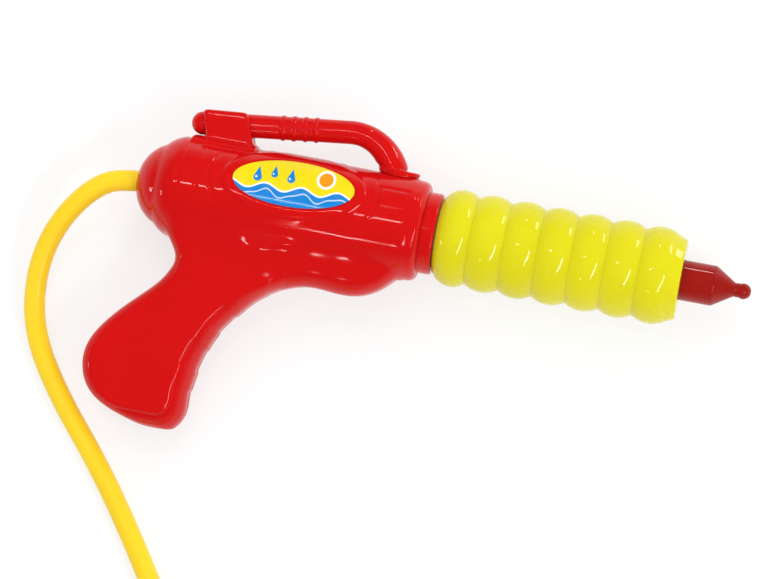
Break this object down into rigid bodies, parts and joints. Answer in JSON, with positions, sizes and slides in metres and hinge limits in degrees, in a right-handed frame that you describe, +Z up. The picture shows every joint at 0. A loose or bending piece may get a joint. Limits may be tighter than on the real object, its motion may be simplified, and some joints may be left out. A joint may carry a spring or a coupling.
{
  "type": "backpack water squirter",
  "caption": "Hand pump water squirter with a ribbed sliding sleeve, a pistol handle, a carry bar and a supply hose.",
  "frame": {"origin": "on the floor under the middle of the squirter, without its hose, as it lies on its left side", "axes": "+X along the barrel towards the nozzle, +Y towards the carry bar, +Z up, out of the right side"},
  "size_m": [0.336, 0.3341, 0.0492],
  "materials": {
    "red_shell": "gloss moulded",
    "red_bar": "gloss moulded",
    "yellow_sleeve": "gloss moulded",
    "nozzle_red": "gloss, slightly clear",
    "label_print": "printed sticker",
    "white_plastic": "satin moulded",
    "seal_rubber": "soft black",
    "steel": "plated",
    "ball_plastic": "turned",
    "hose_vinyl": "smooth soft vinyl"
  },
  "bodies": {
    "housing": {"shell_right": "red_shell", "shell_left": "red_shell", "shell_screws": "steel", "label_right": "label_print", "carry_bar": "red_bar", "front_guide": "red_shell", "piston_rod": "white_plastic", "piston_head": "white_plastic", "piston_seal": "seal_rubber", "inlet_valve_body": "white_plastic", "hose_clip": "steel", "supply_hose": "hose_vinyl", "hose_coil": "hose_vinyl", "hose_end": "hose_vinyl", "tank_connector": "red_shell", "connector_seal": "seal_rubber"},
    "pump": {"pump_cylinder": "white_plastic", "cylinder_end_cap": "white_plastic", "pump_sleeve": "yellow_sleeve", "sleeve_lock_ring": "white_plastic", "nozzle": "nozzle_red", "nozzle_seal": "seal_rubber", "outlet_valve_seat": "white_plastic", "outlet_valve_spring": "steel"},
    "outlet_ball": {"outlet_valve_ball": "ball_plastic"},
    "inlet_ball": {"inlet_valve_ball": "ball_plastic"}
  },
  "joints": [
    {"name": "pump_slide", "type": "slide", "parent": "housing", "child": "pump", "axis": [1, 0, 0], "range_m": [0, 0.086]},
    {"name": "outlet_ball_lift", "type": "slide", "parent": "pump", "child": "outlet_ball", "axis": [1, 0, 0], "range_m": [0, 0.0015], "stiffness_N_per_m": 60, "deforming": ["outlet_valve_spring"]},
    {"name": "inlet_ball_lift", "type": "slide", "parent": "housing", "child": "inlet_ball", "axis": [1, 0, 0], "range_m": [0, 0.002]}
  ]
}
